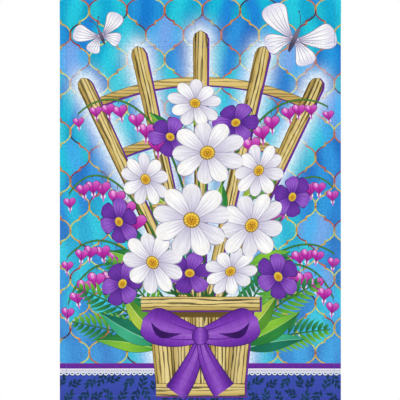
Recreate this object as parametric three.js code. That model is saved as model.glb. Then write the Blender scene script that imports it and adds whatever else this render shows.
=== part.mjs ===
// A garden flag: one printed polyester panel, hemmed at its sides and bottom, whose top edge is
// turned over to the back and stitched down, which makes a sleeve for the arm of a flag stand.
// It hangs in its natural shape. The sleeve's two layers part round the arm and meet below it, and the
// panel hangs from there with shallow folds that deepen towards its free end.
// Millimetres, +Z up, the printed face towards -Y. The origin is the axis of the arm in the sleeve,
// half way along it.
import * as THREE from "three";

const FLAG = { width: 317.5, height: 457.2, cloth: 1 };
// rise is the thickness that the turned cloth adds, and shoulder is the width of its soft inner edge.
const HEM = { width: 9, rise: 0.8, shoulder: 0.6 };
// room is the sleeve's inside width, seam is how far its stitching lies below the top of the fold,
// and turn is the flat strip of cloth below the stitching.
const SLEEVE = { room: 12, seam: 50, turn: 9 };
// Left between the panel and the sleeve, where the real cloth runs on.
const PART_GAP = 0.3;
// The largest steps that the panel is drawn with.
const STEP = { across: 12.5, down: 20 };
// The steps of the sleeve's round top and of each side below it.
const SLEEVE_STEPS = { top: 16, side: 12 };

// The shallow folds, from left to right. at is where a fold's middle meets the bottom hem, lean is how
// far it has moved sideways at the sleeve, reach is its half width, and depth is how far it stands back
// (or forward, if negative) at the bottom.
const FOLDS = [
  { at: -128, lean: 10, reach: 40, depth: -2.2 },
  { at: -66, lean: -8, reach: 44, depth: 2.4 },
  { at: 8, lean: 14, reach: 52, depth: -2.6 },
  { at: 84, lean: -6, reach: 42, depth: 2.2 },
  { at: 140, lean: 6, reach: 34, depth: -1.8 },
];
// A fold's depth grows as this power of the way down.
const FOLD_GROWTH = 1.4;

const half = FLAG.width / 2;
const halfCloth = FLAG.cloth / 2;
const foldRadius = SLEEVE.room / 2 + halfCloth;
const crown = foldRadius + halfCloth;
const bottom = crown - FLAG.height;
const seamLine = crown - SLEEVE.seam;
const sleeveEnd = seamLine - SLEEVE.turn;

// 0 up to start, 1 from end on, and a straight ramp between them.
function ramp(value, start, end) {
  return Math.min(1, Math.max(0, (value - start) / (end - start)));
}

// How far the sleeve's layers have parted at a height: 1 beside the arm, and 0 at the stitching.
function parting(z) {
  return (1 + Math.cos(Math.PI * ramp(z, 0, seamLine))) / 2;
}

// How far the panel stands back from its plane at a point: a sum of soft round folds.
function drape(x, z) {
  const down = ramp(z, sleeveEnd, bottom);
  return FOLDS.reduce((sum, fold) => {
    const middle = fold.at + fold.lean * (1 - down);
    const away = (x - middle) / fold.reach;
    return sum + fold.depth * down ** FOLD_GROWTH * Math.exp(-away * away);
  }, 0);
}

// The thickness that a turned hem adds on the back.
function hemRise(x, z) {
  const fromEdge = Math.min(half - Math.abs(x), z - bottom);
  const belowSleeve = ramp(z, sleeveEnd - PART_GAP, sleeveEnd - PART_GAP - HEM.shoulder);
  return HEM.rise * belowSleeve * (1 - ramp(fromEdge, HEM.width, HEM.width + HEM.shoulder));
}

// The ends of a span and even steps between them.
function spaced(from, to, longest) {
  const count = Math.ceil((to - from) / longest);
  return Array.from({ length: count + 1 }, (_, i) => from + ((to - from) * i) / count);
}

// A closed sheet on a grid: a front and a back face, joined by a rim.
function panelGeometry() {
  const hemEdge = half - HEM.width;
  const inner = hemEdge - HEM.shoulder;
  const columns = [-half, -hemEdge, ...spaced(-inner, inner, STEP.across), hemEdge, half];
  const hemTop = bottom + HEM.width;
  const underSleeve = sleeveEnd - PART_GAP;
  const rows = [
    bottom,
    hemTop,
    ...spaced(hemTop + HEM.shoulder, underSleeve - HEM.shoulder, STEP.down),
    underSleeve,
    seamLine - PART_GAP,
  ];
  const points = [];
  for (const isBack of [false, true]) {
    for (const z of rows) {
      for (const x of columns) {
        const offset = isBack ? halfCloth + hemRise(x, z) : -halfCloth;
        points.push(x, drape(x, z) + offset, z);
      }
    }
  }
  const across = columns.length;
  const last = { row: rows.length - 1, column: across - 1 };
  const front = (row, column) => row * across + column;
  const back = (row, column) => front(row + rows.length, column);
  const triangles = [];
  const quad = (a, b, c, d) => triangles.push(a, b, c, a, c, d);
  for (let r = 0; r < last.row; r++) {
    for (let c = 0; c < last.column; c++) {
      quad(front(r, c), front(r, c + 1), front(r + 1, c + 1), front(r + 1, c));
      quad(back(r, c), back(r + 1, c), back(r + 1, c + 1), back(r, c + 1));
    }
  }
  for (let c = 0; c < last.column; c++) {
    quad(front(0, c), back(0, c), back(0, c + 1), front(0, c + 1));
    quad(front(last.row, c), front(last.row, c + 1), back(last.row, c + 1), back(last.row, c));
  }
  for (let r = 0; r < last.row; r++) {
    const c = last.column;
    quad(front(r, 0), front(r + 1, 0), back(r + 1, 0), back(r, 0));
    quad(front(r, c), back(r, c), back(r + 1, c), front(r + 1, c));
  }
  const geometry = new THREE.BufferGeometry();
  geometry.setAttribute("position", new THREE.Float32BufferAttribute(points, 3));
  geometry.setIndex(triangles);
  geometry.computeVertexNormals();
  return geometry;
}

// The middle line of the sleeve's cloth, seen from the side as (y, z): from the stitching up the front,
// over the arm in a half circle, down the back until it lies on the front again, and on past it.
function sleeveLine() {
  const line = [];
  for (let i = SLEEVE_STEPS.side; i > 0; i--) {
    const z = (seamLine * i) / SLEEVE_STEPS.side;
    line.push([-foldRadius * parting(z), z]);
  }
  for (let i = 0; i <= SLEEVE_STEPS.top; i++) {
    const angle = Math.PI * (1 - i / SLEEVE_STEPS.top);
    line.push([foldRadius * Math.cos(angle), foldRadius * Math.sin(angle)]);
  }
  const lying = FLAG.cloth + PART_GAP;
  for (let i = 1; i <= SLEEVE_STEPS.side; i++) {
    const z = (seamLine * i) / SLEEVE_STEPS.side;
    line.push([lying + (foldRadius - lying) * parting(z), z]);
  }
  line.push([lying, sleeveEnd]);
  return line;
}

// The sleeve's cross-section is that line with the cloth's thickness, and it runs the flag's width.
function sleeveGeometry() {
  const line = sleeveLine();
  const outer = [];
  const inner = [];
  line.forEach(([y, z], i) => {
    const [y0, z0] = line[Math.max(i - 1, 0)];
    const [y1, z1] = line[Math.min(i + 1, line.length - 1)];
    const isEnd = i === 0 || i === line.length - 1;
    const along = isEnd
      ? new THREE.Vector2(0, Math.sign(z1 - z0))
      : new THREE.Vector2(y1 - y0, z1 - z0).normalize();
    const inward = new THREE.Vector2(along.y, -along.x).multiplyScalar(halfCloth);
    const middle = new THREE.Vector2(y, z);
    inner.push(middle.clone().add(inward));
    outer.push(middle.clone().sub(inward));
  });
  const section = new THREE.Shape([...outer, ...inner.reverse()]);
  const geometry = new THREE.ExtrudeGeometry(section, { depth: FLAG.width, bevelEnabled: false });
  // The section's x, y and depth become the flag's Y, Z and X.
  const turn = new THREE.Matrix4().makeBasis(
    new THREE.Vector3(0, 1, 0),
    new THREE.Vector3(0, 0, 1),
    new THREE.Vector3(1, 0, 0),
  );
  return geometry.translate(0, 0, -half).applyMatrix4(turn);
}

function named(name, geometry, colour) {
  const material = new THREE.MeshStandardMaterial({ color: colour, roughness: 0.7, metalness: 0 });
  const mesh = new THREE.Mesh(geometry, material);
  mesh.name = name;
  return mesh;
}

const flag = new THREE.Group();
flag.add(named("flag_panel", panelGeometry(), "#3aa4e0"));
flag.add(named("pole_sleeve", sleeveGeometry(), "#35b6de"));

export default flag;
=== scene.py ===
import math

import bpy
import numpy as np
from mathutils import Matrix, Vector
from mathutils.geometry import delaunay_2d_cdt


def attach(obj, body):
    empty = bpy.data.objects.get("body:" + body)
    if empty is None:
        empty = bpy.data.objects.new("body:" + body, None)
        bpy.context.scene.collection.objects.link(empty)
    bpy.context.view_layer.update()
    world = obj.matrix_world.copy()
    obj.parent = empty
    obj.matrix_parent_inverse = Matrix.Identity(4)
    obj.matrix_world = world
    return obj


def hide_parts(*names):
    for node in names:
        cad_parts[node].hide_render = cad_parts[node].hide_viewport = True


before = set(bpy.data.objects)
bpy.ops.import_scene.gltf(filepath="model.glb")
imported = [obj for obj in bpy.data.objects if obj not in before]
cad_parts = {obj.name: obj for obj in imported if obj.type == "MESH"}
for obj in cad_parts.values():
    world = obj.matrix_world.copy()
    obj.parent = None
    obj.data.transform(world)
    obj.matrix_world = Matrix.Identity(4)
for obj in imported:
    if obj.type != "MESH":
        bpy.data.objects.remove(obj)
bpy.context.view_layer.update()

# THE FLAG
# One sheet of polyester, printed on its face, with turned hems at the sides and the bottom. Its top
# edge goes over to the back and is stitched down, as a sleeve for the arm of a flag stand.
MM = 0.001
# Sizes are in mm on the flat cloth: x across from the middle, and s up the face from the bottom edge,
# over the fold and down the back. CROWN, BOTTOM and names in _Z are heights above the arm's axis.
WIDTH, HEIGHT, CLOTH = 317.5, 457.2, 0.8
HALF_WIDTH = WIDTH / 2
HEM_WIDTH, HEM_RISE, HEM_SHOULDER = 9.0, 0.7, 0.7
# CROWN is the top of the fold, and ARM_ROUND the radius of the cloth's middle over the arm.
CROWN = 7.0
ARM_ROUND = CROWN - CLOTH / 2
BOTTOM = CROWN - HEIGHT
SEAM_Z = CROWN - 50.0
SLEEVE_TURN = 9.0
# How far the sleeve's turned layer lies behind the panel, and how far below its raw edge the hems thicken.
LYING, UNDER_SLEEVE = 0.85, 0.5
SEAM = SEAM_Z - BOTTOM
FOLD_START = -BOTTOM
FOLD_END = FOLD_START + math.pi * ARM_ROUND
BACK_SEAM = FOLD_END - SEAM_Z
CLOTH_END = BACK_SEAM + SLEEVE_TURN
SLEEVE_END_Z = SEAM_Z - SLEEVE_TURN
# Each fold: where its middle meets the bottom edge, how far that has moved sideways at the sleeve, its
# half width, and how far it stands back at the bottom.
FOLDS = np.array(
    [
        (-128, 10, 40, -2.2),
        (-66, -8, 44, 2.4),
        (8, 14, 52, -2.6),
        (84, -6, 42, 2.2),
        (140, 6, 34, -1.8),
    ]
)
FOLD_GROWTH = 1.4
PUCKER_DEPTH, PUCKER_PITCH, PUCKER_REACH = 0.22, 8.7, 5.0
# How far the cloth's thickness rounds off at its edge: 0 leaves it square, and 1 takes it to nothing.
EDGE_ROUND = 0.85


def parting(z):
    """How far the sleeve's layers have parted at a height: a half cosine, 1 at the arm and 0 at the seam."""
    return (1 + np.cos(np.pi * np.clip(z / SEAM_Z, 0, 1))) / 2


def drape(x, z):
    """How far the panel stands back: a sum of bell curves across, each growing as a power of the way down."""
    down = np.clip((z - SLEEVE_END_Z) / (BOTTOM - SLEEVE_END_Z), 0, 1)
    at, lean, reach, depth = (column[:, None] for column in FOLDS.T)
    away = (x - at - lean * (1 - down)) / reach
    return (depth * down**FOLD_GROWTH * np.exp(-(away**2))).sum(0)


def middle(x, s):
    """The cloth's middle surface: up the draped panel, forward along the sleeve's front, round a half
    circle and down the back, with small puckers along the seam."""
    rising, falling = s + BOTTOM, FOLD_END - s
    turn = (s - FOLD_START) / ARM_ROUND
    beside = [s <= FOLD_START, s < FOLD_END]
    front = drape(x, rising) - ARM_ROUND * parting(rising)
    back = LYING + (ARM_ROUND - LYING) * parting(falling)
    y = np.select(beside, [front, -ARM_ROUND * np.cos(turn)], back)
    z = np.select(beside, [rising, ARM_ROUND * np.sin(turn)], falling)
    from_seam = np.minimum(abs(s - SEAM), abs(s - BACK_SEAM)) / PUCKER_REACH
    y = y + PUCKER_DEPTH * np.cos(2 * np.pi * x / PUCKER_PITCH) * np.exp(-(from_seam**2))
    return np.stack([x, y, z], -1)


def facing(x, s):
    """The unit vector out of the printed face: the cross product of the surface's two slopes."""
    step = 0.05
    across = middle(x + step, s) - middle(x - step, s)
    up = middle(x, s + step) - middle(x, s - step)
    out = np.cross(across, up)
    return out / np.linalg.norm(out, axis=-1, keepdims=True)


def surface(x, s, back=False, lift=0.0):
    """A point of the face or the back: the middle surface moved along its normal by half the cloth's
    thickness, which rounds off at the edges, and at the back by the turned hem too."""
    from_side = HALF_WIDTH - abs(x)
    from_edge = np.minimum(from_side, np.minimum(s, CLOTH_END - s))
    round_off = np.sqrt(1 - EDGE_ROUND * np.clip(1 - from_edge / CLOTH, 0, 1) ** 2)
    half = CLOTH / 2 * round_off
    from_hem = np.minimum(from_side, s) - HEM_WIDTH
    below = np.clip((SEAM - SLEEVE_TURN - UNDER_SLEEVE - s) / HEM_SHOULDER, 0, 1)
    rise = HEM_RISE * below * np.clip(1 - from_hem / HEM_SHOULDER, 0, 1)
    away = -half - rise * round_off - lift if back else half + lift
    return middle(x, s) + facing(x, s) * np.asarray(away)[..., None]


# The print is drawn as outlines on the flat cloth. Later ones cover earlier ones. A side longer than
# LONGEST_SIDE is split, so that the colours run evenly along it.
LONGEST_SIDE = 9.0
shapes = []
random = np.random.default_rng(18)


def linear(code):
    """An sRGB hex colour in linear light."""
    part = np.array([int(code[i : i + 2], 16) for i in (1, 3, 5)]) / 255
    return np.where(part <= 0.04045, part / 12.92, ((part + 0.055) / 1.055) ** 2.4)


def ink(outline, colours, start=(0, 0), end=(0, 1), streak=0.0, wood=0.0, rim=0.0, half=1.0, behind=False):
    """Adds a printed shape. Its colours, if more than one, run evenly from start to end, and rim darkens
    it towards half mm to each side of that line. streak and wood are the strengths of the brush marks
    and of the grain. What lies behind the wood takes its white glow."""
    side = np.roll(outline, -1, axis=0) - outline
    pieces = np.ceil(np.linalg.norm(side, axis=1) / LONGEST_SIDE).astype(int).clip(1)
    piece = np.arange(pieces.sum()) - np.repeat(np.cumsum(pieces) - pieces, pieces)
    steps = np.repeat(side / pieces[:, None], pieces, axis=0) * piece[:, None]
    points = np.repeat(outline, pieces, axis=0) + steps
    shapes.append(
        {
            "outline": np.clip(points, [-HALF_WIDTH, 0], [HALF_WIDTH, CLOTH_END]),
            "colours": np.array([linear(c) for c in colours]),
            "start": np.array(start, float),
            "end": np.array(end, float),
            "marks": (streak, wood, rim, half),
            "behind": behind,
        }
    )


def towards(angle):
    """The unit vector at an angle in degrees."""
    return np.array([math.cos(math.radians(angle)), math.sin(math.radians(angle))])


def course(base, angle, length, bend=0.0, along=15):
    """A line that starts at base at an angle in degrees and turns evenly by bend degrees: its points, and
    the unit normals to its left. along is a number of even steps or the points' shares of the length."""
    along = np.linspace(0, 1, along) if isinstance(along, int) else along
    heading = np.radians(angle + bend * (along - 0.5))
    way = np.stack([np.cos(heading), np.sin(heading)], -1)
    mean = (way[1:] + way[:-1]) / 2 * length * np.diff(along)[:, None]
    points = np.array(base, float) + np.vstack([np.zeros((1, 2)), np.cumsum(mean, 0)])
    return points, np.stack([-way[:, 1], way[:, 0]], -1)


def band(line, width):
    """The outline of a stroke of some width, which may change along its line."""
    slope = np.gradient(line, axis=0)
    normal = np.stack([-slope[:, 1], slope[:, 0]], -1) / np.linalg.norm(slope, axis=1, keepdims=True)
    side = normal * np.reshape(width, (-1, 1)) / 2
    return np.vstack([line + side, (line - side)[::-1]])


def blade(rib, away, wide):
    """The outline that runs a half width to both sides of a rib, along the rib's normals."""
    return np.vstack([rib + away * wide, (rib - away * wide)[::-1]])


def bow_line(*corners, steps=24):
    """A cubic Bezier curve through four control points."""
    t = np.linspace(0, 1, steps)[:, None]
    a, b, c, d = np.array(corners, float)
    return (1 - t) ** 3 * a + 3 * t * (1 - t) ** 2 * b + 3 * t**2 * (1 - t) * c + t**3 * d


def oval(centre, across, up, turn=0.0, steps=10):
    """An ellipse with two half axes, turned by some degrees."""
    t = np.linspace(0, 2 * np.pi, steps, endpoint=False)
    c, s = math.cos(math.radians(turn)), math.sin(math.radians(turn))
    x, y = across * np.cos(t), up * np.sin(t)
    return np.array(centre, float) + np.stack([c * x - s * y, s * x + c * y], -1)


# The ground: a trellis of ogee cells, a traditional tile pattern, in gold, orange and red lines. A line
# runs from one stem to the next in the row below: straight, a curve, a small step, and the same again
# the other way round. It is thicker at the stems and at the step.
TRELLIS_PITCH, TRELLIS_ROW = 42.6, 27.6
STEM_X, STEM_S = -125.5, 442.7
TRELLIS_ROWS, TRELLIS_COLUMNS = range(-4, 18), range(-1, 9)
t = np.linspace(0, 1, 6)[:, None]
curve = (1 - t) ** 2 * [0, 0.11] + 2 * t * (1 - t) * [0.1, 0.35] + t**2 * [0.485, 0.447]
half_line = np.vstack([[(0, 0)], curve, [(0.5, 0.47)]])
LINE = np.vstack([half_line, (1 - half_line)[::-1]])
LINE_WIDTH = (
    1.45
    + 1.0 * np.exp(-((np.minimum(LINE[:, 1], 1 - LINE[:, 1]) / 0.12) ** 2))
    + 0.7 * np.exp(-(((abs(LINE[:, 1] - 0.5) - 0.06) / 0.04) ** 2))
)
# The ground and its lines are mottled: their brush marks are as short as they are wide.
SHORT_MARKS = 8.4
MOTTLED_GROUND, MOTTLED_LINE = 1.3, 2.6
STEM_TONES = ["#CC6426", "#D29232", "#A84226", "#BCA63C"]
LINE_TONES = ["#C8CE6C", "#D2AE44", "#BC6428", "#8C2238", "#40102C"]
# How often a line takes each of its tones, by one of two lists: the higher it lies, the more often by
# the first.
UPPER_SHARES, LOWER_SHARES = [0.26, 0.22, 0.18, 0.18, 0.16], [0.44, 0.26, 0.16, 0.11, 0.03]
UPPER_FROM, UPPER_RUN = 90, 400
cells, cell_middles = [], []
for row in TRELLIS_ROWS:
    s = STEM_S - TRELLIS_ROW * row
    for column in TRELLIS_COLUMNS:
        x = STEM_X + TRELLIS_PITCH * (column - row % 2 / 2)
        if abs(x) > HALF_WIDTH + TRELLIS_PITCH:
            continue
        sides = []
        for way in (1, -1):
            line = np.array([x, s]) + LINE * [way * TRELLIS_PITCH / 2, -TRELLIS_ROW]
            sides.append(line)
            if s - TRELLIS_ROW < CLOTH_END and abs(line[:, 0]).min() < HALF_WIDTH:
                is_upper = random.random() < (s - UPPER_FROM) / UPPER_RUN
                shares = UPPER_SHARES if is_upper else LOWER_SHARES
                first, last = random.choice(LINE_TONES, 2, p=shares)
                stem, step, foot = random.choice(STEM_TONES, 3)
                tones = [stem, first, first, first, step, last, last, last, foot]
                ink(band(line, LINE_WIDTH), tones, line[0], line[-1], streak=MOTTLED_LINE, behind=True)
        # The cell below this stem is closed by the lines that meet in the stem two rows down.
        low = [2 * np.array([x, s - TRELLIS_ROW]) - side for side in sides]
        cells.append(np.vstack([sides[0], low[1][::-1], low[0], sides[1][::-1]]))
        cell_middles.append((x, s - TRELLIS_ROW))

# The border: a royal blue band with dark leaf sprigs, a white lace edging, and a purple line above.
BAND_TOP, LACE_FOOT, LACE_TOP, RULE_TOP = 33.0, 34.2, 38.2, 44.2


def strip(low, high):
    """A rectangle across the whole flag between two heights."""
    x = HALF_WIDTH
    return np.array([(-x, low), (x, low), (x, high), (-x, high)])


ink(strip(0, LACE_FOOT + 1), ["#3844A4", "#3A50B4"], (0, 0), (0, BAND_TOP), streak=0.5)
SPRIG_INKS = ["#0F2E4C", "#143C56", "#0D2648"]
SPRIG_COUNT, SPRIG_PITCH, SPRIG_ROWS = 43, 7.4, (24.0, 7.5)
SPRIG_ANGLES = [32, 58, 74, 106, 124, 150, 240, 296]
# A sprig's leaves: the point of the stem that each grows from, and the side that it leans to.
SPRIG_LEAVES = ((1, 1), (2, -1), (3, 1), (4, -1), (5, -0.2))
LEAF_HALF_WIDTH = 1.6 * np.sin(np.pi * np.linspace(0, 1, 6) ** 0.85)[:, None]
for k in range(SPRIG_COUNT):
    x = (k - SPRIG_COUNT // 2) * SPRIG_PITCH + random.uniform(-1.8, 1.8)
    s = SPRIG_ROWS[k % 2] + random.uniform(-2.6, 2.6)
    angle = random.choice(SPRIG_ANGLES) + random.uniform(-12, 12)
    length = random.uniform(11.0, 13.5)
    foot = np.array([x, s]) - towards(angle) * length * 0.8
    stem, _ = course(foot, angle, length, random.uniform(-40, 40), 6)
    colour = SPRIG_INKS[k % len(SPRIG_INKS)]
    ink(band(stem, np.linspace(0.9, 0.5, 6)), [colour])
    for i, way in SPRIG_LEAVES:
        leaf_length = 8.0 - 0.3 * i + random.uniform(-0.7, 0.7)
        rib, away = course(stem[i], angle + way * 42, leaf_length, -way * 16, 6)
        ink(blade(rib, away, LEAF_HALF_WIDTH), [colour, "#143E58"], rib[0], rib[-1])
# The lace: a row of white loops with a dark gap in each, under a band with a row of fine dashes.
LACE_PITCH, LACE_LOOPS, FIRST_LOOP = 6.35, 51, -157.35
LOOP_ACROSS, LOOP_DROP = 3.3, 4.0
GAP_ACROSS, GAP_DROP = 2.1, 1.9
arc = np.linspace(np.pi, 2 * np.pi, 9)
half_moon = np.stack([np.cos(arc), np.sin(arc)], -1)
for k in range(LACE_LOOPS):
    x = FIRST_LOOP + k * LACE_PITCH
    for drop, colours in ((0.9, ["#16235A"]), (0, ["#F8FBFF", "#DDE6F6"])):
        loop = [x, LACE_FOOT + 0.3 - drop] + half_moon * [LOOP_ACROSS, LOOP_DROP]
        ink(loop, colours, (x, 30), (x, 34))
    gap = [x, LACE_FOOT - 0.5] + half_moon[1:-1] * [GAP_ACROSS, GAP_DROP]
    shade = ("#10203A", "#2A3A7E", "#1A2C4A", "#34489C")[random.integers(4)]
    ink(gap, [shade])
ink(strip(LACE_FOOT - 0.3, LACE_TOP), ["#CED3E0", "#EFE6F8"], (0, LACE_FOOT), (0, LACE_TOP))
DASH_PITCH, DASHES, FIRST_DASH, DASH_HEIGHT = 3.25, 97, -155.4, 35.9
for k in range(DASHES):
    dash = oval((FIRST_DASH + k * DASH_PITCH, DASH_HEIGHT), 1.1, 0.34, random.uniform(-6, 6), 6)
    ink(dash, ["#9097AE"])
ink(strip(LACE_TOP, RULE_TOP), ["#5A2590", "#6A2AA0", "#7426A0"], (0, LACE_TOP), (0, RULE_TOP), streak=0.3)

# The picture: white daisies, violet flowers and magenta blossom on a wooden fan trellis in a staved
# planter. halo gathers the outlines of the boards, which have a white glow round them.
WOOD = ["#B2944A", "#E4CB7C", "#F2DE9E", "#DABD6C"]
WOOD_DARK = "#4E3D1A"
SHADE_PURPLE = "#6B2A9C"
halo = []


def plank(foot, tip, wide_foot, wide_tip, peak=0.0, tones=WOOD):
    """A board from foot to tip, whose tip may rise to a point: shadow, dark edge and face."""
    foot, tip = np.array(foot, float), np.array(tip, float)
    length = np.linalg.norm(tip - foot)
    along = (tip - foot) / length
    side = np.array([-along[1], along[0]])
    centre = (foot + tip) / 2
    layers = (
        ("shadow", 0.9, (1.5, -0.9), [SHADE_PURPLE]),
        ("edge", 0.5, (0, 0), [WOOD_DARK]),
        ("face", 0, (0, 0), tones),
    )
    for layer, grow, shift, colours in layers:
        a, b = side * (wide_foot / 2 + grow), side * (wide_tip / 2 + grow)
        end = tip + along * grow
        ring = [foot + a, end - along * peak + b]
        if peak:
            shoulder = end - along * peak * 0.35
            ring += [shoulder + b * 0.72, end, shoulder - b * 0.72]
        ring += [end - along * peak - b, foot - a]
        outline = np.array(ring[::-1]) + shift
        if layer == "face":
            ink(outline, colours, centre + a, centre - a, wood=1.0, rim=0.25, half=length)
        else:
            ink(outline, colours, centre + a, centre - a)
        if layer == "edge":
            halo.append(shapes[-1]["outline"])


def leaf(base, angle, length, width, bend, tones):
    """A pointed leaf in a light and a dark half, with a pale midrib."""
    rib, away = course(base, angle, length, bend)
    along = np.linspace(0, 1, 15)
    wide = (width / 2 * np.sin(np.pi * along**0.82) ** 1.1)[:, None]
    light, dark, vein = tones
    edge = 1 + 0.9 / width
    ink(blade(rib, away, wide * edge), ["#0D3B22", "#14502C"], rib[0], rib[-1])
    for way, shade in ((1, light), (-1, dark)):
        ink(np.vstack([rib, (rib + way * away * wide)[::-1]]), shade, rib[0], rib[-1], streak=0.8)
    ink(band(rib[:-1], np.linspace(1.0, 0.3, 14)), [vein])


# A leaf's light half, dark half and midrib: grass green, blue green and yellow green.
GREENS = [
    (["#3F9A2E", "#8CC63C", "#5DAA3A"], ["#1B6B33", "#2F8A3C", "#1F6A3A"], "#B9DC7A"),
    (["#1F8A5B", "#43B48A", "#2A9C74"], ["#0F5B46", "#1B7A5C", "#0F6150"], "#8FD6B4"),
    (["#7FA52A", "#B4CC4A", "#7FB040"], ["#3C7A26", "#5B9A30", "#33701F"], "#DCE88A"),
]


def stalk(line, width):
    """A stem along a line, thinner at its end, with a dark edge."""
    taper = np.linspace(width, width * 0.55, len(line))
    ink(band(line, taper + 0.7), ["#12351C"])
    ink(band(line, taper), ["#1F5A2A", "#4E8E34"], line[0], line[-1])


# The colours of a flower: its dark edge, its lower and upper petals, and their veins.
WHITE = {
    "edge": ["#8B86A0", "#A7A4BC", "#9B98B4"],
    "under": ["#A79BBE", "#CFCADF", "#ECEAF4", "#F3F1F4"],
    "over": ["#B9A9CC", "#E6E2EE", "#FFFFFF", "#FBF9F6"],
    "vein": ["#B6AFC8", "#DAD7E6"],
}
VIOLET = {
    "edge": ["#2E0F5A", "#3A1470", "#3A1470"],
    "under": ["#35126A", "#5A2A96", "#7038AA", "#65309E"],
    "over": ["#4A1C86", "#7A3EB4", "#9860CC", "#8548BC"],
    "vein": ["#43187C", "#6A34A4"],
}
# The points of a petal or a wing lie closer together towards its round tip.
TO_TIP = 1 - (1 - np.linspace(0, 1, 16)) ** 1.7


def flower(centre, size, turn, tilt, squash, petals=9, tone=WHITE):
    """A daisy or a violet flower: broad petals round a golden eye, squashed along tilt as it looks aside."""
    breadth = 2.7 / petals * size
    centre = np.array(centre, float)
    look = towards(tilt)

    def seen(points):
        """Squashes points about the flower's middle along the way that it looks."""
        off = np.asarray(points) - centre
        return centre + off - np.outer(off @ look, look) * (1 - squash)

    lower_then_upper = list(range(0, petals, 2)) + list(range(1, petals, 2))
    for k in lower_then_upper:
        angle = turn + 360 / petals * k + random.uniform(-4, 4)
        length = size * random.uniform(0.92, 1.04)
        rib, away = course(centre, angle, length, random.uniform(-14, 14), TO_TIP)
        wide = (breadth * 1.05 * TO_TIP**0.75 * np.sqrt(1 - TO_TIP**7))[:, None]
        ring = blade(rib, away, wide)
        wave = 1 + 0.035 * np.cos(np.linspace(-1, 1, len(ring)) * 3 * np.pi)[:, None]
        ring = centre + (ring - centre) * wave
        end = seen(rib[-1:])[0]
        petal_colours = tone["over" if k % 2 else "under"]
        ink(seen(blade(rib, away, wide + 0.7)), tone["edge"], centre, end)
        ink(seen(ring), petal_colours, centre, end, streak=0.9, rim=0.16, half=breadth)
        for fraction in (-0.45, 0.0, 0.45):
            vein = seen(rib[2:10:2] + away[2:10:2] * wide[2:10:2] * fraction)
            ink(band(vein, np.linspace(0.75, 0.3, 4)), tone["vein"], vein[0], vein[-1])
    eye = size * 0.19
    ink(seen(oval(centre, eye * 1.14, eye * 1.14, 0, 24)), ["#7A6A2E", "#8C7A3A"])
    ink(seen(oval(centre, eye, eye, 0, 24)), ["#B57A12", "#F0C33A"], centre - [0, eye], centre + [0, eye])
    for ring, count, colour in ((0.84, 13, "#FBDD62"), (0.5, 8, "#C98A18"), (0.2, 3, "#8A5A12")):
        for k in range(count):
            a = 2 * np.pi * (k + ring) / count
            dot = centre + eye * ring * np.array([math.cos(a), math.sin(a)])
            ink(seen(oval(dot, eye * 0.14, eye * 0.14, 0, 5)), [colour])


def blossom(top, size, lean):
    """A hanging heart-shaped blossom in magenta with a white drop. Its sizes are shares of size."""
    t = np.linspace(0, 2 * np.pi, 26, endpoint=False)
    height = (13 * np.cos(t) - 5 * np.cos(2 * t) - 2 * np.cos(3 * t) - np.cos(4 * t)) / 16
    heart = np.stack([np.sin(t) ** 3, height], -1)
    heart_middle = np.array([0, -0.95])
    c, s = math.cos(math.radians(lean)), math.sin(math.radians(lean))
    spin = np.array([[c, s], [-s, c]])
    top = np.array(top, float)

    def shade(points, colours, high=0.0, low=-1.0, streak=0.0):
        """Prints a shape that hangs from the blossom's top, turned by its lean. Its colours run from
        the height high to the height low."""
        start, end = top + np.array([(0, high), (0, low)]) * size @ spin
        ink(top + (np.asarray(points) * size) @ spin, colours, start, end, streak=streak)

    drop = [(-0.26, -1.55), (-0.34, -2.1), (0, -2.42), (0.34, -2.1), (0.26, -1.55)]
    tongue = [(-0.1, -1.7), (-0.12, -2.35), (0, -2.75), (0.12, -2.35), (0.1, -1.7)]
    crease = [(-0.035, -0.4), (0.035, -0.4), (0.03, -1.7), (-0.03, -1.7)]
    shade(drop, ["#B9A6D2", "#FFFFFF"], -1.6, -2.3)
    shade(tongue, ["#B0289E", "#E07AD2"], -1.7, -2.7)
    shade(heart * 1.08 + heart_middle, ["#5C0A52"])
    shade(heart + heart_middle, ["#E078D0", "#BE2EAC", "#8C0E7C"], 0, -2, streak=0.8)
    shade(oval((-0.45, -0.62), 0.2, 0.38, 18, 10), ["#F6C0EE", "#DA66CA"], -0.3, -1)
    shade(crease, ["#7A0E6C"])


def spray(corners, hearts, size):
    """An arching stem with blossoms that hang from it and shrink towards its tip."""
    line = bow_line(*corners)
    stalk(line, 2.2)
    spots = np.linspace(9, 23, hearts).astype(int)
    for n, i in enumerate(spots):
        small = size * (1 - n / (hearts - 1) * 0.38)
        drop = line[i] + [0, -small * 0.55]
        hanger = np.array([line[i], (line[i] + drop) / 2, drop])
        ink(band(hanger, 0.8), ["#1F5A2A", "#7A2A50"], line[i], drop)
        blossom(drop, small, random.uniform(-12, 12))


# A wing's angle, its length and width as shares of the butterfly's size, and its bend.
WINGS = ((-38, 0.5, 0.34, -20), (-142, 0.5, 0.34, 20), (32, 0.72, 0.42, 26), (148, 0.72, 0.42, -26))
BODY_DARK = "#4A4058"


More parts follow.
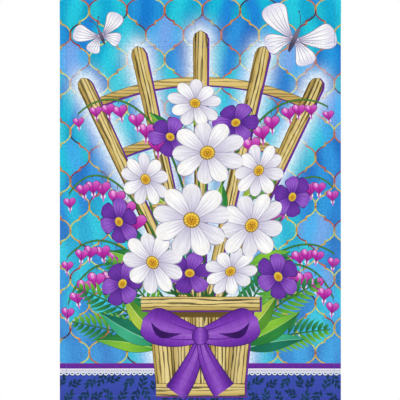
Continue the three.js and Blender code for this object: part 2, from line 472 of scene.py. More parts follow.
def butterfly(centre, size, turn):
    """A white butterfly from above: two large and two small wings, a slim body and feelers."""
    centre = np.array(centre, float)
    for angle, length, width, bend in WINGS:
        rib, away = course(centre, angle + turn, size * length, bend, TO_TIP)
        wide = (size * width / 2 * 1.5 * TO_TIP**1.1 * np.sqrt(1 - TO_TIP**6))[:, None]
        ink(blade(rib, away, wide + 0.8), ["#6E6788", "#8D88A6"], rib[0], rib[-1])
        wing_colours = ["#B9AED0", "#EFEDF6", "#FFFFFF", "#DCD6EC"]
        ink(blade(rib, away, wide), wing_colours, rib[0], rib[-1], streak=0.8)
        for fraction in (-0.6, -0.2, 0.2, 0.6):
            vein = rib[1:12:2] + away[1:12:2] * wide[1:12:2] * fraction
            ink(band(vein, np.linspace(0.8, 0.4, 6)), ["#8F88A8", "#B8B2CC"], vein[0], vein[-1])
    nose = towards(90 + turn)
    body = oval(centre, size * 0.045, size * 0.24, turn, 14)
    ink(body, [BODY_DARK, "#7A6E86"], centre - nose * 5, centre + nose * 5)
    for way in (-1, 1):
        feeler, _ = course(centre + nose * size * 0.2, 90 + turn - way * 24, size * 0.3, -way * 40, 8)
        ink(band(feeler, 0.7), [BODY_DARK])
        ink(oval(feeler[-1], 0.9, 0.9, 0, 8), [BODY_DARK])


# The fan trellis: three curved rails behind five slats. All spread from one point in the planter, so
# each is given by its distance or length and its angle.
FAN = np.array([0, 78])
RAILS = ((150, 25), (222, 26), (285, 25))
SLATS = ((115, 318), (65, 318), (102.5, 332), (77.5, 332), (90, 342))
for radius, spread in RAILS:
    a = np.radians(np.linspace(90 + spread, 90 - spread, 30))
    rail = FAN + radius * np.stack([np.cos(a), np.sin(a)], -1)
    ink(band(rail, 10.6) + [1.4, -1.2], [SHADE_PURPLE])
    ink(band(rail, 10.0), [WOOD_DARK])
    ink(band(rail, 9.0), ["#B8974C", "#E6CB7E"], (0, rail[:, 1].min()), (0, rail[:, 1].max()), wood=0.7)
for angle, length in SLATS:
    plank(FAN + towards(angle) * 40, FAN + towards(angle) * length, 10.0, 16.0, peak=10)

# Leaves and sprays that stand out behind the flowers. A daisy's stem is given by where it ends and how
# far it leans as it leaves the planter, and a spray by its curve, its number of blossoms and their size.
FLOWER_STEMS = [
    (-62, 252, -10), (66, 262, 12), (-6, 338, 6), (-54, 158, -8),
    (58, 200, 10), (34, 148, 4), (8, 282, -6), (-10, 206, 3),
]
SPRAYS = [
    (((-26, 118), (-56, 226), (-112, 292), (-148, 236)), 7, 11.0),
    (((26, 118), (66, 206), (112, 284), (149, 244)), 7, 11.0),
    (((-24, 118), (-66, 158), (-108, 212), (-150, 164)), 7, 10.5),
    (((24, 118), (66, 152), (106, 200), (151, 168)), 7, 10.5),
    (((-10, 200), (-30, 318), (-90, 372), (-138, 326)), 7, 10.0),
    (((12, 210), (44, 316), (94, 362), (144, 334)), 7, 10.0),
    (((-40, 116), (-84, 176), (-132, 166), (-149, 112)), 6, 11.5),
    (((40, 116), (84, 170), (130, 168), (150, 118)), 6, 11.5),
]
for x, s, lean in FLOWER_STEMS:
    stalk(bow_line((lean, 112), (lean * 1.2, 140), (x * 0.9, s - 60), (x, s)), 2.6)
for corners, hearts, size in SPRAYS:
    spray(corners, hearts, size)
# A leaf's foot, angle, length, width and bend, and which of the greens it has.
LEAVES = [
    (-52, 150, 158, 56, 19, 20, 0), (-60, 175, 138, 50, 17, -18, 1), (-40, 225, 150, 52, 17, 16, 2),
    (52, 148, 24, 56, 19, -20, 0), (58, 178, 44, 48, 17, 18, 1), (46, 228, 30, 52, 17, -16, 2),
    (-30, 292, 128, 46, 16, 24, 0), (30, 296, 50, 46, 16, -24, 1), (-4, 312, 100, 40, 14, -14, 2),
    (-70, 130, 188, 46, 17, -20, 1), (70, 128, -6, 48, 17, 20, 2), (20, 205, 84, 44, 15, 12, 0),
    (-14, 150, 96, 40, 15, -12, 1),
]
for x, s, angle, length, width, bend, tone in LEAVES:
    leaf((x, s), angle, length, width, bend, GREENS[tone])

# The pairs of leaflets on a fern's frond, their longest reach and their angle to the rib.
LEAFLET_PAIRS, LEAFLET_REACH, LEAFLET_ANGLE = 13, 24, 48
LEAFLET_HALF_WIDTH = (1.7 + LEAFLET_REACH * 0.03) * np.sin(np.pi * np.linspace(0, 1, 6) ** 0.75)[:, None]
# A frond's angle, length, bend and height of its foot, for the left side. The right side is
# nearly its mirror.
FRONDS = ((150, 112, 20, 74), (131, 98, 30, 88), (166, 104, 6, 66))


def fern(base, angle, length, bend):
    """A fern's frond: narrow leaflets in pairs along a curved rib, shorter towards its tip."""
    rib, _ = course(base, angle, length, bend, LEAFLET_PAIRS + 3)
    heading = angle + bend * (np.linspace(0, 1, LEAFLET_PAIRS + 3) - 0.5)
    stalk(rib, 1.6)
    for i in range(2, LEAFLET_PAIRS + 2):
        share = i / (LEAFLET_PAIRS + 2)
        size = LEAFLET_REACH * np.sin(np.pi * (0.2 + 0.78 * share)) + 3
        for way, tones in ((1, ["#146038", "#3C9A58"]), (-1, ["#2F8A34", "#7CC03E"])):
            leaflet, away = course(rib[i], heading[i] + way * LEAFLET_ANGLE, size, -way * 26, 6)
            ink(blade(leaflet, away, LEAFLET_HALF_WIDTH), tones, leaflet[0], leaflet[-1])


for way in (1, -1):
    for angle, length, bend, s in FRONDS:
        turn = angle if way == 1 else 180 - angle + random.uniform(-5, 5)
        fern((-way * 44, s), turn, length, way * bend)
# Broad leaves round the planter's foot.
FOOT_LEAVES = [
    (-48, 60, 172, 72, 20, 18, 0), (-46, 66, 152, 78, 22, -20, 1), (-46, 74, 130, 64, 20, -24, 2),
    (48, 60, 9, 72, 20, -18, 1), (46, 66, 29, 78, 22, 20, 0), (46, 74, 50, 64, 20, 24, 2),
]
for x, s, angle, length, width, bend, tone in FOOT_LEAVES:
    leaf((x, s), angle, length, width, bend, GREENS[tone])

# The planter: five staves that widen upwards, a foot board, and a rim board with a shadow under it, tied
# with a purple ribbon and a bow. A board is given by its lower and upper edge and its reach.
PLANTER_FOOT, PLANTER_RIM = 9.0, 112.0
STAVE_TONES = (
    WOOD,
    ["#B69C58", "#EAD492", "#DABE74"],
    ["#AC9048", "#E0C680", "#F2DE9E", "#CCAE62"],
)
FOOT_BOARD, RIM_BOARD = (7, 21, 50), (104, 119, 67)
UNDER_RIM = np.array([(-50, 96), (50, 96), (58, 113), (-58, 113)])
for k in range(5):
    low, high = (k - 2) * 19.6, (k - 2) * 24.0
    plank((low, PLANTER_FOOT), (high, PLANTER_RIM), 18.6, 23.2, tones=STAVE_TONES[k % len(STAVE_TONES)])
ink(UNDER_RIM, ["#3E2F14", "#6E5626"], (0, 112), (0, 96))
for low, high, reach in (FOOT_BOARD, RIM_BOARD):
    height = (low + high) / 2
    plank((-reach, height), (reach, height), high - low, high - low, tones=WOOD[::-1])
SATIN = ["#4E1A86", "#7A35B4", "#9A5CCB", "#7430AC", "#52208C"]
SATIN_EDGE = "#3C0F66"


def sash(reach):
    """The middle line of the ribbon round the planter, which sags between its ends."""
    return np.array([(-reach, 76), (-30, 73), (0, 72), (30, 73), (reach, 76)])


def fold_of_ribbon(base, angle, length, width, bend, tones, is_loop):
    """A loop or a tail of satin ribbon: dark edge, sheen across, and a light between two dark creases.
    A loop widens sooner and closes at its end."""
    rib, away = course(base, angle, length, bend, 17)
    along = np.linspace(0, 1, 17)
    half = width / 2
    wide = half * (0.28 + 0.72 * np.sin(np.pi / 2 * along) ** (0.8 if is_loop else 1.0))
    if is_loop:
        wide = wide * np.sqrt(1 - along**8)
    wide = wide[:, None]
    ink(blade(rib, away, wide + 0.8), [SATIN_EDGE])
    low, high = rib[8] - away[8] * half, rib[8] + away[8] * half
    ink(blade(rib, away, wide), tones, low, high, streak=1.0)
    for fraction, colour in ((-0.45, "#54208A"), (0.1, "#A873D2"), (0.5, "#54208A")):
        crease = rib[1:14] + away[1:14] * wide[1:14] * fraction
        ink(band(crease, np.linspace(1.6, 0.4, 13)), [colour, "#6E2CA6"], crease[0], crease[-1])


ink(band(sash(57), 15.0), [SATIN_EDGE])
ink(band(sash(56.4), 13.6), SATIN, (0, 66), (0, 80), streak=1.0)
for angle, length, bend in ((246, 70, -24), (294, 67, 24)):
    fold_of_ribbon((0, 74), angle, length, 25, bend, SATIN, False)
for angle, bend in ((164, -30), (16, 30)):
    fold_of_ribbon((0, 76), angle, 68, 44, bend, SATIN[::-1], True)
    # The dark inside of the loop shows below its middle.
    rib, away = course((0, 76), angle, 62, bend, 17)
    rib, below = rib[5:16], away[5:16] * math.copysign(1, angle - 90)
    arch = np.sin(np.pi * np.linspace(0, 1, 11) ** 1.3)[:, None]
    mouth = np.vstack([rib + below * 12 * arch, (rib + below * 4 * arch)[::-1]])
    ink(mouth, ["#4C1A80", "#2E0A52", "#3E1270"], rib[0], rib[-1], streak=0.6)
KNOT = (0, 75)
ink(oval(KNOT, 9.6, 10.4, 0, 20), [SATIN_EDGE])
ink(oval(KNOT, 8.8, 9.6, 0, 20), SATIN, (-9, 75), (9, 75), streak=1.0)

# The flowers, the violet ones first: each one's middle, size and turn, the way that it looks aside, and
# how much that squashes it.
DAISIES = [
    ((-62, 252), 30, 10, 30, 0.86), ((66, 262), 31, 25, 150, 0.84), ((-6, 338), 30, 5, 80, 0.86),
    ((34, 148), 30, 0, 120, 0.82), ((-54, 158), 37, 18, 40, 0.86), ((58, 200), 40, 30, 140, 0.86),
    ((-10, 206), 45, 8, 70, 0.92), ((8, 282), 41, 22, 100, 0.9),
]
VIOLETS = [
    ((-34, 300), 25, 12, 60, 0.85), ((40, 316), 26, 0, 110, 0.85), ((-92, 204), 26, 20, 20, 0.82),
    ((104, 232), 25, 40, 160, 0.82), ((-88, 134), 27, 5, 150, 0.84), ((88, 142), 27, 30, 30, 0.84),
    ((-12, 146), 27, 10, 90, 0.84),
]
for centre, size, turn, tilt, squash in VIOLETS:
    flower(centre, size, turn, tilt, squash, 6, VIOLET)
for centre, size, turn, tilt, squash in DAISIES:
    flower(centre, size, turn, tilt, squash)
butterfly((-112, 414), 44, 22)
butterfly((106, 410), 66, -24)

# The cloth is cut into triangles along every outline, on a grid that carries its folds. Some grid lines
# are kept as edges: those along the hems and round the fold. The free ones stay a few mm clear of them,
# and one more runs along the middle of each hem.
GRID = 5.4
ROUND_STEPS = 14
EDGE_STEPS = np.array([0, 0.25, 0.6])
HEM_STEPS = np.array([HEM_WIDTH, HEM_WIDTH + HEM_SHOULDER])
HEM_MIDDLE_X, HEM_MIDDLE_S = 154.6, 4.6
inner_x = np.arange(-HALF_WIDTH + 13, HALF_WIDTH - 12, GRID)
side_x = HALF_WIDTH - np.concatenate([EDGE_STEPS, HEM_STEPS])
every_x = np.concatenate([inner_x, side_x, -side_x, [-HEM_MIDDLE_X, HEM_MIDDLE_X]])
columns = np.unique(np.round(every_x, 4))
bend_rows = np.linspace(FOLD_START, FOLD_END, ROUND_STEPS + 1)
front_rows = np.arange(13, FOLD_START - 2, GRID)
back_rows = np.arange(FOLD_END + 3, CLOTH_END - 2, GRID)
free_rows = np.concatenate([front_rows, back_rows, [HEM_MIDDLE_S]])
kept_rows = np.concatenate([EDGE_STEPS, HEM_STEPS, bend_rows, CLOTH_END - EDGE_STEPS])
rows = np.unique(np.round(np.concatenate([free_rows, kept_rows]), 4))
grid = np.stack(np.meshgrid(columns, rows), -1)
number = np.arange(grid[..., 0].size).reshape(grid.shape[:2])
kept_row = np.isin(rows, np.round(kept_rows, 4))
kept_column = np.isin(columns, np.round(np.concatenate([side_x, -side_x]), 4))
level = np.stack([number[kept_row, :-1].ravel(), number[kept_row, 1:].ravel()], -1)
upright = np.stack([number[:-1, kept_column].ravel(), number[1:, kept_column].ravel()], -1)


def inside(points, outline):
    """Which points an outline holds, by the number of its sides that lie to the right of each."""
    x0, y0 = outline.T
    x1, y1 = np.roll(outline, -1, axis=0).T
    px, py = points[:, :1], points[:, 1:]
    spans = (y0 > py) != (y1 > py)
    rise = np.where(y1 == y0, 1, y1 - y0)
    return ((px < (x1 - x0) * (py - y0) / rise + x0) & spans).sum(1) % 2 == 1


def held(points, outline):
    """The numbers of the points that an outline holds."""
    near = np.flatnonzero(((points >= outline.min(0)) & (points <= outline.max(0))).all(1))
    return near[inside(points[near], outline)]


def owners(points, outlines):
    """The number of the last outline that holds each point, or -1."""
    owner = np.full(len(points), -1)
    for k, outline in enumerate(outlines):
        owner[held(points, outline)] = k
    return owner


def ring_sides(first, size):
    """The corner numbers at both ends of each side of a closed outline, whose corners run from first."""
    corner = np.arange(size)
    return first + np.stack([corner, (corner + 1) % size], -1)


# A side of an outline with both ends under one later shape isn't cut.
outlines = [shape["outline"] for shape in shapes]
counts = [len(outline) for outline in outlines]
firsts = np.concatenate([[0], np.cumsum(counts)[:-1]])
rings = np.vstack([ring_sides(first, size) for first, size in zip(firsts, counts)])
corners = np.vstack(outlines)
hidden = np.zeros(len(corners), bool)
for first, outline in zip(firsts, outlines):
    under = np.zeros(len(corners), bool)
    under[held(corners[:first], outline)] = True
    hidden |= under & under[rings[:, 1]]
used, seen_sides = np.unique(rings[~hidden], return_inverse=True)
flat_points = np.vstack([grid.reshape(-1, 2), corners[used]])
edges = np.vstack([level, upright, number.size + seen_sides.reshape(-1, 2)])
# Output 0 is every triangle between the points, and points within 0.0001 mm are made one.
cut = delaunay_2d_cdt([Vector(p) for p in flat_points.tolist()], edges.tolist(), [], 0, 1e-4, False)
flat = np.array([tuple(p) for p in cut[0]])
faces = np.array(cut[2])
a, b, c = (flat[faces[:, i]] for i in range(3))
turn_of = (b[:, 0] - a[:, 0]) * (c[:, 1] - a[:, 1]) - (b[:, 1] - a[:, 1]) * (c[:, 0] - a[:, 0])
faces = faces[abs(turn_of) > 0]
turn_of = turn_of[abs(turn_of) > 0]
faces[turn_of < 0] = faces[turn_of < 0][:, ::-1]
centres = flat[faces].mean(1)

# The ground's water colours: each cell runs between two blues in broad soft bands, which sway on their
# way down. It is darker round its edge, and all cells grow a little paler towards the flag's foot.
BAND_ACROSS, BAND_SWAY, SWAY_DOWN = 5.2, 0.7, 11
PALE_FROM, PALE_RUN, PALE_MOST = 330, 300, 0.2
WASH_SHARES = [0.19, 0.12, 0.17, 0.1, 0.14, 0.14, 0.14]
WASHES = [
    ("#0878CA", "#1E94DA"), ("#0E6EC2", "#2690DA"), ("#04A6CE", "#1EC4DA"), ("#06B2D0", "#3CCADC"),
    ("#44ACEA", "#70A4E6"), ("#36A8E4", "#08BED8"), ("#1484D4", "#08B4D4"),
]
washes = np.array([[linear(code) for code in pair] for pair in WASHES])
cell_of = owners(centres, cells)
washes = washes[random.choice(len(WASHES), len(cells) + 1, p=WASH_SHARES)]
phases = random.uniform(0, 6.3, (len(cells) + 1, 2))
x, s = flat[faces].transpose(2, 0, 1)
phase = phases[cell_of][:, :, None]
sway = BAND_SWAY * np.sin(s / SWAY_DOWN + phase[:, 1])
wash = 0.5 + 0.5 * np.sin(x / BAND_ACROSS + phase[:, 0] + sway)
wash = np.clip(wash * 1.5 - 0.25, 0, 1)[..., None]
colour = washes[cell_of, 0][:, None] * (1 - wash) + washes[cell_of, 1][:, None] * wash
pale = np.clip((PALE_FROM - s) / PALE_RUN, 0, 1)[..., None] * PALE_MOST
colour = colour * (1 - pale) + linear("#8CCFF6") * pale
middle_of_cell = np.array(cell_middles + [(0, 0)])[cell_of][:, None]
off = (np.stack([x, s], -1) - middle_of_cell) / [TRELLIS_PITCH / 2, TRELLIS_ROW * 0.9]
colour = colour * (1.08 - 0.22 * np.clip((off**2).sum(-1), 0, 1.1) ** 1.5)[..., None]
marks = np.zeros((len(faces), 3, 3))
marks[..., 0], marks[..., 1], marks[..., 2] = s * SHORT_MARKS, x, MOTTLED_GROUND
grain = np.zeros((len(faces), 3))
# The white glow fades with the distance from the wood, which is measured to a few points at a time.
GLOW_MOST, GLOW_REACH = 0.95, 9.5
from_wood = np.full(len(flat), np.inf)
for some in np.array_split(np.vstack(halo), 40):
    from_wood = np.minimum(from_wood, np.linalg.norm(flat[:, None] - some, axis=-1).min(1))
glow = (GLOW_MOST * np.exp(-((from_wood / GLOW_REACH) ** 1.5)))[faces][..., None]
# Each shape in turn gives its faces their colours and brush marks. MARK_SHIFT keeps the marks of one
# shape from running on in the next.
MARK_SHIFT, MARK_SHIFTS = 37.0, 61
owner = owners(centres, outlines)
order = np.argsort(owner, kind="stable")
limits = np.searchsorted(owner[order], np.arange(len(shapes) + 1))
behind = owner == -1
for k, shape in enumerate(shapes):
    mine = order[limits[k] : limits[k + 1]]
    points = flat[faces[mine]]
    run = shape["end"] - shape["start"]
    span = np.linalg.norm(run)
    off = points - shape["start"]
    along = off @ run / span
    aside = off @ np.array([-run[1], run[0]]) / span
    stops = np.linspace(0, span, len(shape["colours"]))
    tone = np.stack([np.interp(along, stops, channel) for channel in shape["colours"].T], -1)
    streak, wood, rim, half = shape["marks"]
    if shape["behind"]:
        along = along * SHORT_MARKS
    colour[mine] = tone * (1 - rim * np.clip(abs(aside) / half, 0, 1) ** 2)[..., None]
    if wood:
        along, aside = aside, along
    shift = MARK_SHIFT * (k % MARK_SHIFTS)
    marks[mine] = np.stack([along, aside + shift, np.full_like(along, streak)], -1)
    grain[mine] = wood
    behind[mine] = shape["behind"]
colour = np.where(behind[:, None, None], colour * (1 - glow) + linear("#EAF6FF") * glow, colour)

# The sheet: the printed face, the back with the same cuts, and a rim between them.
count = len(flat)
x, s = flat.T
verts = np.vstack([surface(x, s), surface(x, s, back=True)]) * MM
normals = np.vstack([facing(x, s), -facing(x, s)])
sides = np.sort(faces[:, [0, 1, 1, 2, 2, 0]].reshape(-1, 2), axis=1)
whole = faces[:, [0, 1, 1, 2, 2, 0]].reshape(-1, 2)
_, found, times = np.unique(sides, axis=0, return_index=True, return_counts=True)
i, j = whole[found[times == 1]].T
rim_owner = found[times == 1] // 3
rim_faces = np.vstack([np.stack([j, i, i + count], -1), np.stack([j, i + count, j + count], -1)])
triangles = np.vstack([faces, faces[:, ::-1] + count, rim_faces])
rim_colour = np.repeat(colour[rim_owner].mean(1)[:, None], 3, axis=1)
# The print shows through paler on the back, but the turned hems show its face. Above the seam the back
# is inside the sleeve, where no hem shows.
PALER_BACK, PALER_HEM = 0.42, 0.06
hem_reach = HEM_WIDTH + HEM_SHOULDER
on_hem = (HALF_WIDTH - abs(centres[:, 0]) < hem_reach) | (centres[:, 1] < hem_reach)
on_hem &= centres[:, 1] < SEAM
through = np.where(on_hem, PALER_HEM, PALER_BACK)[:, None, None]
back_colour = colour * (1 - through) + linear("#DCEBFA") * through
colours = np.vstack([colour, back_colour[:, ::-1], rim_colour, rim_colour])
all_marks = np.vstack([marks, marks[:, ::-1], np.zeros((len(rim_faces), 3, 3))])
all_grain = np.vstack([grain, grain[:, ::-1], np.zeros((len(rim_faces), 3))])

mesh = bpy.data.meshes.new("flag")
mesh.vertices.add(len(verts))
mesh.vertices.foreach_set("co", verts.ravel())
mesh.loops.add(triangles.size)
mesh.loops.foreach_set("vertex_index", triangles.ravel())
mesh.polygons.add(len(triangles))
mesh.polygons.foreach_set("loop_start", np.arange(0, triangles.size, 3))
mesh.update(calc_edges=True)
mesh.validate()
mesh.polygons.foreach_set("use_smooth", np.ones(len(triangles), bool))
printed = mesh.color_attributes.new("print", "FLOAT_COLOR", "CORNER")
printed.data.foreach_set("color", np.concatenate([colours, np.ones(colours.shape[:2] + (1,))], -1).ravel())
mesh.attributes.new("marks", "FLOAT_VECTOR", "CORNER").data.foreach_set("vector", all_marks.ravel())
mesh.attributes.new("grain", "FLOAT", "CORNER").data.foreach_set("value", all_grain.ravel())
on_cloth = np.concatenate([np.vstack([flat, flat]), np.zeros((2 * count, 1))], -1)
mesh.attributes.new("cloth", "FLOAT_VECTOR", "POINT").data.foreach_set("vector", on_cloth.ravel())
# The baked picture holds the face in its left half and the back in its right, with a margin round each.
MARGIN = 0.005
u_face = (x / WIDTH + 0.5) * (0.5 - 2 * MARGIN) + MARGIN
u = np.concatenate([u_face, u_face + 0.5])
v = np.concatenate([s, s]) / CLOTH_END * (1 - 2 * MARGIN) + MARGIN
uv = np.stack([u, v], -1)[triangles.ravel()]
rim_corner = len(faces) * 6
uv[rim_corner:] = np.repeat(uv[rim_corner:].reshape(-1, 3, 2)[:, :1], 3, axis=1).reshape(-1, 2)
mesh.uv_layers.new(name="OFBake").data.foreach_set("uv", uv.ravel())
mesh.normals_split_custom_set_from_vertices(normals)


def placed(name, data):
    """A new object in the scene, with this mesh, lamp or camera as its data."""
    made = bpy.data.objects.new(name, data)
    bpy.context.collection.objects.link(made)
    return made


def node(kind, inputs=(), **settings):
    """Adds a shader node to the tree, sets its properties, and sets or links its inputs by name or number."""
    made = tree.nodes.new("ShaderNode" + kind)
    for key, value in settings.items():
        setattr(made, key, value)
    for key, value in dict(inputs).items():
        if isinstance(value, bpy.types.NodeSocket):
            tree.links.new(value, made.inputs[key])
        else:
            made.inputs[key].default_value = value
    return made


flag = placed("flag", mesh)
# Printed polyester, dyed by its print: matt, with a fine plain weave that softens the light on it. The
# real threads are about 0.5 mm apart, and are drawn 0.7 mm apart so that they show.
THREAD = 0.7
# The brush marks and the wood's wandering are noise. These are its cells to a mm along and across, so a
# mark is about 20 mm long and 2.4 mm wide, and the grain wanders over 70 mm by 6 mm.
BRUSH_MARKS, GRAIN_WANDER = (0.05, 0.42, 1), (0.014, 0.16, 1)
# The drawn wood's dark lines are about this far apart, and the noise moves them by so many radians.
GRAIN_PITCH, GRAIN_SHIFT = 4.4, 13.0
fabric = bpy.data.materials.new("Printed polyester, plain weave")
fabric.use_nodes = True
tree = fabric.node_tree
skin = tree.nodes["Principled BSDF"]
ink_colour = node("Attribute", attribute_name="print")
mark = node("Attribute", attribute_name="marks")
wooden = node("Attribute", attribute_name="grain")
cloth = node("Attribute", attribute_name="cloth")
part = node("SeparateXYZ", {0: mark.outputs["Vector"]})
brush_at = node("CombineXYZ", {0: part.outputs[0], 1: part.outputs[1]})
brush_scaled = node("VectorMath", {0: brush_at.outputs[0], 1: BRUSH_MARKS}, operation="MULTIPLY")
brush = node("TexNoise", {"Vector": brush_scaled.outputs[0], "Scale": 1, "Detail": 3, "Roughness": 0.6})
brush_range = node("MapRange", {"Value": brush.outputs[0], 1: 0.3, 2: 0.7, 3: -0.15, 4: 0.15})
brush_depth = node("Math", {0: brush_range.outputs[0], 1: part.outputs[2]}, operation="MULTIPLY")
# Each dark line of the grain is the top of a sine wave across the board, and the noise makes it wander
# and fade.
grain_scaled = node("VectorMath", {0: brush_at.outputs[0], 1: GRAIN_WANDER}, operation="MULTIPLY")
grain_noise = node(
    "TexNoise",
    {"Vector": grain_scaled.outputs[0], "Scale": 1, "Detail": 3, "Roughness": 0.55, "Distortion": 0.3},
)
grain_across = node("Math", {0: part.outputs[1], 1: 2 * math.pi / GRAIN_PITCH}, operation="MULTIPLY")
grain_phase = node(
    "Math",
    {0: grain_noise.outputs[0], 1: GRAIN_SHIFT, 2: grain_across.outputs[0]},
    operation="MULTIPLY_ADD",
)
grain_wave = node("Math", {0: grain_phase.outputs[0]}, operation="SINE")
grain_groove = node("MapRange", {"Value": grain_wave.outputs[0], 1: 0.2, 2: 0.85, 3: 0.0, 4: 1.0})
grain_fade = node("MapRange", {"Value": grain_noise.outputs[0], 1: 0.4, 2: 0.65, 3: 0.9, 4: 0.6})
grain_line = node("Math", {0: grain_groove.outputs[0], 1: grain_fade.outputs[0]}, operation="MULTIPLY")
grain_depth = node("Math", {0: grain_line.outputs[0], 1: wooden.outputs["Fac"]}, operation="MULTIPLY")
lit = node("Math", {0: 1.0, 1: brush_depth.outputs[0]}, operation="ADD")
lit_grain = node("Math", {0: lit.outputs[0], 1: grain_depth.outputs[0]}, operation="SUBTRACT")
toned = node(
    "VectorMath", {0: ink_colour.outputs["Color"], "Scale": lit_grain.outputs[0]}, operation="SCALE"
)
# The weave is the product of two sine waves on the flat cloth, as a small bump.
thread_scaled = node(
    "VectorMath", {0: cloth.outputs["Vector"], "Scale": 2 * math.pi / THREAD}, operation="SCALE"
)
thread_part = node("SeparateXYZ", {0: thread_scaled.outputs[0]})
warp = node("Math", {0: thread_part.outputs[0]}, operation="SINE")
weft = node("Math", {0: thread_part.outputs[1]}, operation="SINE")
weave = node("Math", {0: warp.outputs[0], 1: weft.outputs[0]}, operation="MULTIPLY")
bump = node("Bump", {"Height": weave.outputs[0], "Strength": 0.25, "Distance": 0.00012})
tree.links.new(toned.outputs[0], skin.inputs["Base Color"])
tree.links.new(bump.outputs[0], skin.inputs["Normal"])
skin.inputs["Roughness"].default_value = 0.78
skin.inputs["Specular IOR Level"].default_value = 0.14
skin.inputs["Sheen Weight"].default_value = 0.04
skin.inputs["Sheen Roughness"].default_value = 0.5
mesh.materials.append(fabric)

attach(flag, "root")
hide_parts("flag_panel", "pole_sleeve")

# THE STITCHING
# Blue polyester lockstitch along the turned hems and, in two rows, across the sleeve's foot. It is
# sewn through the cloth, so each row shows on the face and on the back.
STITCH, STITCH_PITCH, THREAD_RADIUS = 2.5, 3.1, 0.17
# The hems' rows lie a little inside their raw edge, and the sleeve's this far below its seam line.
HEM_ROW = HEM_WIDTH - 1.6
SLEEVE_ROWS = (0.0, 5.5)
# How far a row stops short of the cloth's side, and of a raw edge.
SHORT_OF_SIDE, SHORT_OF_EDGE = 2, 3
# Where a stitch's tips and rings lie, in shares of its length, how thick the rings are, in shares of the
# thread's radius, and how far its middle line lies off the cloth.
BEAD_ALONG = np.array([-0.5, -0.38, 0, 0.38, 0.5])
BEAD_THICK = np.array([0.75, 1, 0.75])
BEAD_LIFT = THREAD_RADIUS * 0.35


def row_of_stitches(start, end):
    """The middles of the stitches between two points on the flat cloth, and the way that they run."""
    start, end = np.array(start, float), np.array(end, float)
    length = np.linalg.norm(end - start)
    along = np.arange(STITCH_PITCH / 2, length, STITCH_PITCH)[:, None]
    way = (end - start) / length
    return np.hstack([start + way * along, np.broadcast_to(way, (len(along), 2))])


hem_side = HALF_WIDTH - HEM_ROW
sleeve_side = HALF_WIDTH - SHORT_OF_SIDE
on_face = [((-hem_side, HEM_ROW), (hem_side, HEM_ROW))]
on_back = [((-hem_side, HEM_ROW), (hem_side, HEM_ROW))]
for x in (-hem_side, hem_side):
    on_face.append(((x, HEM_ROW), (x, CLOTH_END - SHORT_OF_EDGE)))
    on_back.append(((x, HEM_ROW), (x, SEAM - SLEEVE_TURN - SHORT_OF_EDGE)))
for down in SLEEVE_ROWS:
    for s in (SEAM - down, BACK_SEAM + down):
        on_face.append(((-sleeve_side, s), (sleeve_side, s)))


def stitches(rows, back):
    """Slim beads on the cloth's surface: three rings of six points and two tips, partly sunk in. A ring is
    a circle between the way out of the cloth and the way across the bead."""
    place = np.vstack([row_of_stitches(*row) for row in rows])
    at, way = place[:, None, :2], place[:, None, 2:]
    spine_at = (at + way * (BEAD_ALONG[None, :, None] * STITCH)).reshape(-1, 2)
    x, s = spine_at.T
    spine = surface(x, s, back, BEAD_LIFT).reshape(len(place), 5, 3)
    out = facing(x, s).reshape(len(place), 5, 3) * (-1 if back else 1)
    run = spine[:, -1:] - spine[:, :1]
    sideways = np.cross(run / np.linalg.norm(run, axis=-1, keepdims=True), out)
    angle = (np.arange(6) * np.pi / 3)[:, None]
    thick = (BEAD_THICK * THREAD_RADIUS)[None, :, None, None]
    circle = np.cos(angle) * out[:, 1:4, None] + np.sin(angle) * sideways[:, 1:4, None]
    rings = spine[:, 1:4, None] + thick * circle
    points = np.concatenate([rings.reshape(len(place), 18, 3), spine[:, [0, 4]]], 1)
    # Points 0 to 17 of a bead are its rings', and 18 and 19 its tips.
    k = np.arange(6)
    n = (k + 1) % 6
    wall = [np.stack([k + r, n + r, n + r + 6, k + r + 6], -1) for r in (0, 6)]
    caps = [np.stack([n, k, np.full(6, 18)], -1), np.stack([k + 12, n + 12, np.full(6, 19)], -1)]
    split = [np.vstack([w[:, [0, 1, 2]], w[:, [0, 2, 3]]]) for w in wall]
    bead = np.vstack(split + caps)
    faces = bead + 20 * np.arange(len(place))[:, None, None]
    return points.reshape(-1, 3), faces.reshape(-1, 3)


face_points, face_beads = stitches(on_face, False)
back_points, back_beads = stitches(on_back, True)
bead_points = np.vstack([face_points, back_points]) * MM
beads = np.vstack([face_beads, back_beads + len(face_points)])
sewing = bpy.data.meshes.new("stitching")
sewing.from_pydata(bead_points.tolist(), [], beads.tolist())
sewing.polygons.foreach_set("use_smooth", np.ones(len(sewing.polygons), bool))
stitching = placed("stitching", sewing)


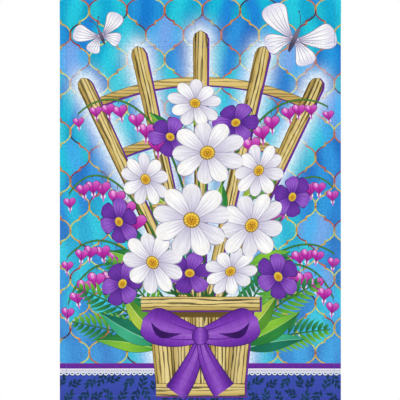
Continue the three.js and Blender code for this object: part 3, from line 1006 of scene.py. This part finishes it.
def plain_material(name, colour, roughness):
    """A material with one colour and roughness all over."""
    made = bpy.data.materials.new(name)
    made.use_nodes = True
    made_skin = made.node_tree.nodes["Principled BSDF"]
    made_skin.inputs["Base Color"].default_value = (*colour, 1)
    made_skin.inputs["Roughness"].default_value = roughness
    return made


# Spun polyester thread: a soft, even blue with little shine.
sewing.materials.append(plain_material("Spun polyester thread, blue", linear("#4A8FD2"), 0.6))
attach(stitching, "root")

# THE FLOOR
# A plain pale floor, as far below the flag as it hangs over the ground on its stand.
FLOOR_Z, FLOOR_HALF = -0.80, 2.5
ground = bpy.data.meshes.new("floor")
square = [(-1, -1), (1, -1), (1, 1), (-1, 1)]
ground.from_pydata([(x * FLOOR_HALF, y * FLOOR_HALF, FLOOR_Z) for x, y in square], [], [(0, 1, 2, 3)])
ground.materials.append(plain_material("Plain pale floor", (0.82, 0.82, 0.82), 0.9))
floor = placed("floor", ground)

# THE LIGHT
# An even white surround, as in the photo, with one large soft lamp in front and above.
scene = bpy.context.scene
world = bpy.data.worlds.new("Even white surround")
scene.world = world
world.use_nodes = True
world.node_tree.nodes["Background"].inputs["Color"].default_value = (1, 1, 1, 1)
world.node_tree.nodes["Background"].inputs["Strength"].default_value = 1.0
scene.view_settings.view_transform = "Standard"
lamp = placed("Soft lamp", bpy.data.lights.new("Soft lamp", "AREA"))
lamp.data.size = 1.2
lamp.data.energy = 3.0
lamp.location = (-0.9, -1.8, 0.9)
lamp.rotation_euler = (Vector((0, 0, -0.22)) - lamp.location).to_track_quat("-Z", "Y").to_euler()

# THE CAMERA
# Face on from 4 m with a long lens. The flag is 281 px wide and a little longer than the frame, and its
# middle is a third of a pixel to the right of the frame's.
FRAME_PX, FLAG_PX, OFF_MIDDLE_PX = 400, 281, 0.35
PIXEL = WIDTH / FLAG_PX * MM
DISTANCE, SENSOR = 4.0, 36
lens = bpy.data.cameras.new("Camera")
camera = placed("Camera", lens)
scene.camera = camera
lens.sensor_width = SENSOR
lens.lens = SENSOR * DISTANCE / (FRAME_PX * PIXEL)
camera.location = (-OFF_MIDDLE_PX * PIXEL, -DISTANCE, (CROWN - HEIGHT / 2) * MM)
camera.rotation_euler = (math.pi / 2, 0, 0)
